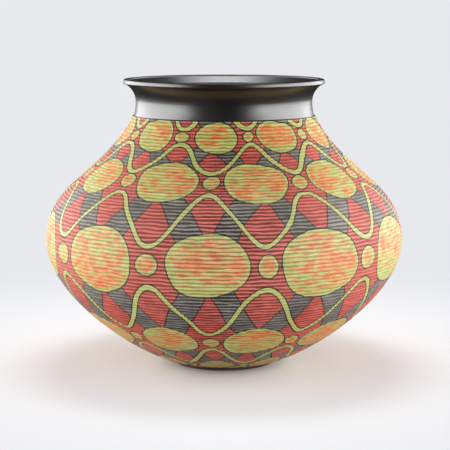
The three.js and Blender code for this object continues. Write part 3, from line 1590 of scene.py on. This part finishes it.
@dataclass
class Foot:
    """The low foot ring, and the floor that it carries."""

    sizes: JarSizes
    clays: Clays
    wheel: Wheel
    edge_rounding: float = 0.0006
    ridge_pitch: float = 0.006
    ridge_height: float = 0.0005
    ridge_points: int = 6

    def build_ring(self) -> bpy.types.Object:
        """Builds the foot ring.

        Returns:
            The piece.
        """
        outer = self.sizes.foot_radius
        inner = outer - self.sizes.foot_ring_width
        top = self.sizes.foot_top
        outline = [(inner, 0.0), (outer, 0.0), (outer, top), (inner, top)]
        piece = self.wheel.throw("foot_ring_trimmed", outline)
        soften(piece, self.edge_rounding)
        dress(piece, self.clays.bare)
        return hand_over(piece, "foot_ring")

    def build_floor(self) -> bpy.types.Object:
        """Builds the floor, with the ridges that fingers leave on its top.

        Returns:
            The piece.
        """
        sizes = self.sizes
        steps = round(self.ridge_points * sizes.floor_radius / self.ridge_pitch)
        top = []
        for radius in np.linspace(sizes.floor_radius, 0, steps + 1):
            ridge = 0.5 + 0.5 * math.cos(TURN * (sizes.floor_radius - radius) / self.ridge_pitch)
            top.append((float(radius), sizes.floor_top - self.ridge_height * (1 - ridge)))
        outline = [(0.0, sizes.floor_bottom), (sizes.floor_radius, sizes.floor_bottom), *top]
        piece = self.wheel.throw("floor_disc_thrown", outline)
        dress(piece, self.clays.bare)
        return hand_over(piece, "floor_disc")


@dataclass(frozen=True)
class Softbox:
    """A soft lamp, aimed at the middle of the jar.

    It hangs at two angles in degrees and at a distance, as seen from there. Its sizes are in metres and its
    power in watts. It is seen in the burnished clay where it is mirrored, and its cone is the angle over
    which its light spreads.
    """

    name: str
    azimuth: float
    elevation: float
    distance: float
    width: float
    height: float
    power: float
    mirrored: bool = True
    cone: float = math.pi

    def away(self) -> Vector:
        """Finds the direction of the lamp, as seen from the jar.

        Returns:
            The direction, one metre long.
        """
        azimuth = math.radians(self.azimuth)
        elevation = math.radians(self.elevation)
        level = math.cos(elevation)
        return Vector((math.sin(azimuth) * level, -math.cos(azimuth) * level, math.sin(elevation)))


@dataclass
class Studio:
    """The floor, the light and the camera, none of which are part of the jar.

    The floor has one colour for the light that it throws back, one where the camera sees it, and two where
    it is mirrored, near the jar and far from it. The fades are the distances over which it changes.
    """

    sizes: JarSizes
    pale: Colour = Colour(232, 233, 237)
    floor_colour: Colour = Colour(222, 222, 225)
    floor_seen: Colour = Colour(240, 240, 242)
    floor_radius: float = 40.0
    floor_corners: int = 64
    floor_roughness: float = 0.9
    mirrored_near: Colour = Colour(62, 58, 55)
    mirrored_far: Colour = Colour(36, 34, 34)
    mirror_fade: tuple[float, float] = (0.4, 1.1)
    plain_fade: tuple[float, float] = (0.05, 0.5)
    fill: float = 0.04
    camera_place: tuple[float, float, float] = (0.0, -1.300, 0.3163)
    camera_dip: float = math.radians(8.42)
    field_of_view: float = math.radians(17.62)
    camera_shift: float = 0.0022
    lamps: tuple[Softbox, ...] = (
        Softbox("left softbox", -97, 14, distance=1.15, width=2.8, height=0.7, power=31),
        Softbox("right softbox", 92, 14, distance=1.15, width=3.1, height=0.7, power=33),
        Softbox("top softbox", 180, 75, distance=1.15, width=0.6, height=0.4, power=5.4),
        Softbox("front fill", 0, 17, distance=1.5, width=1.0, height=0.6, power=4.4, mirrored=False),
        Softbox(
            "mouth light",
            0,
            90,
            distance=1.2,
            width=0.05,
            height=0.05,
            power=0.12,
            mirrored=False,
            cone=math.radians(7),
        ),
    )

    def lay_floor(self) -> None:
        """Lays a wide pale floor."""
        bpy.ops.object.select_all(action="DESELECT")
        bpy.ops.mesh.primitive_circle_add(
            vertices=self.floor_corners,
            radius=self.floor_radius,
            fill_type="NGON",
        )
        floor = bpy.context.object
        floor.name = "studio_floor"
        floor.data.materials.append(self.floor_material())

    def floor_material(self) -> bpy.types.Material:
        """Makes a floor that fades into the background away from the jar, and is dimmer where mirrored.

        Returns:
            The material.
        """
        sheet = Sheet("pale floor")
        away = sheet.node("VectorMath", "Value", {0: sheet.place()}, operation="LENGTH")
        seen = sheet.node("LightPath", "Is Camera Ray", {})
        mirrored = sheet.node("LightPath", "Is Glossy Ray", {})
        reflection = sheet.mix(sheet.spread(away, *self.mirror_fade), self.mirrored_near, self.mirrored_far)
        colour = sheet.mix(mirrored, sheet.mix(seen, self.floor_colour, self.floor_seen), reflection)
        background = sheet.node("Emission", "Emission", {"Color": self.pale})
        parts = {
            "Fac": sheet.math("MULTIPLY", sheet.spread(away, *self.plain_fade), seen),
            1: sheet.shader.outputs["BSDF"],
            2: background,
        }
        blend = sheet.node("MixShader", "Shader", parts)
        sheet.feed(sheet.nodes["Material Output"].inputs["Surface"], blend)
        roughness = self.floor_roughness
        return sheet.shaded({"Base Color": colour, "Roughness": roughness, "Specular IOR Level": 0.0})

    def light_world(self) -> None:
        """Fills the room with soft light, behind which the camera sees the plain pale background."""
        world = bpy.data.worlds.new("studio")
        bpy.context.scene.world = world
        world.use_nodes = True
        nodes = world.node_tree.nodes
        links = world.node_tree.links
        light = nodes["Background"]
        light.inputs["Color"].default_value = (1.0, 1.0, 1.0, 1.0)
        light.inputs["Strength"].default_value = self.fill
        seen = nodes.new("ShaderNodeBackground")
        seen.inputs["Color"].default_value = self.pale.linear()
        path = nodes.new("ShaderNodeLightPath")
        blend = nodes.new("ShaderNodeMixShader")
        links.new(path.outputs["Is Camera Ray"], blend.inputs["Fac"])
        links.new(light.outputs["Background"], blend.inputs[1])
        links.new(seen.outputs["Background"], blend.inputs[2])
        links.new(blend.outputs["Shader"], nodes["World Output"].inputs["Surface"])

    def hang(self, box: Softbox) -> None:
        """Hangs one softbox.

        Args:
            box: The softbox.
        """
        data = bpy.data.lights.new(box.name, "AREA")
        data.shape = "RECTANGLE"
        data.size = box.width
        data.size_y = box.height
        data.energy = box.power
        data.spread = box.cone
        lamp = bpy.data.objects.new(box.name, data)
        bpy.context.scene.collection.objects.link(lamp)
        lamp.location = Vector((0, 0, self.sizes.belly_height)) + box.distance * box.away()
        lamp.rotation_euler = box.away().to_track_quat("Z", "Y").to_euler()
        lamp.visible_camera = False
        lamp.visible_glossy = box.mirrored

    def place_camera(self) -> None:
        """Places the camera where the jar is seen as it was photographed."""
        data = bpy.data.cameras.new("camera")
        data.angle = self.field_of_view
        data.shift_x = self.camera_shift
        camera = bpy.data.objects.new("camera", data)
        bpy.context.scene.collection.objects.link(camera)
        camera.location = self.camera_place
        camera.rotation_euler = (math.pi / 2 - self.camera_dip, 0, 0)
        bpy.context.scene.camera = camera

    def set_up(self) -> None:
        """Sets up the whole studio."""
        bpy.context.scene.view_settings.view_transform = "Standard"
        self.place_camera()
        self.lay_floor()
        self.light_world()
        for box in self.lamps:
            self.hang(box)


def report(piece: bpy.types.Object) -> None:
    """Logs a piece's name and how many faces it has."""
    log.info("%s: %d faces", piece.name, len(piece.data.polygons))


def main() -> None:
    """Builds the jar piece by piece, from the foot up, and sets up the studio."""
    logging.basicConfig(level=logging.INFO, format="%(name)s, %(relativeCreated)d ms: %(message)s")
    sizes = JarSizes.from_frame()
    line = WallLine(sizes)
    clays = Clays.mixed()
    wheel = Wheel()
    foot = Foot(sizes, clays, wheel)
    walls = Walls(sizes, line, clays, wheel)
    neck = Neck(sizes, clays, wheel)
    builders = (
        foot.build_ring,
        foot.build_floor,
        walls.build_lower,
        walls.build_shoulder,
        neck.build_collar,
        neck.build_lip,
    )
    for build in builders:
        report(build())
    Studio(sizes).set_up()


if __name__ == "__main__":
    main()
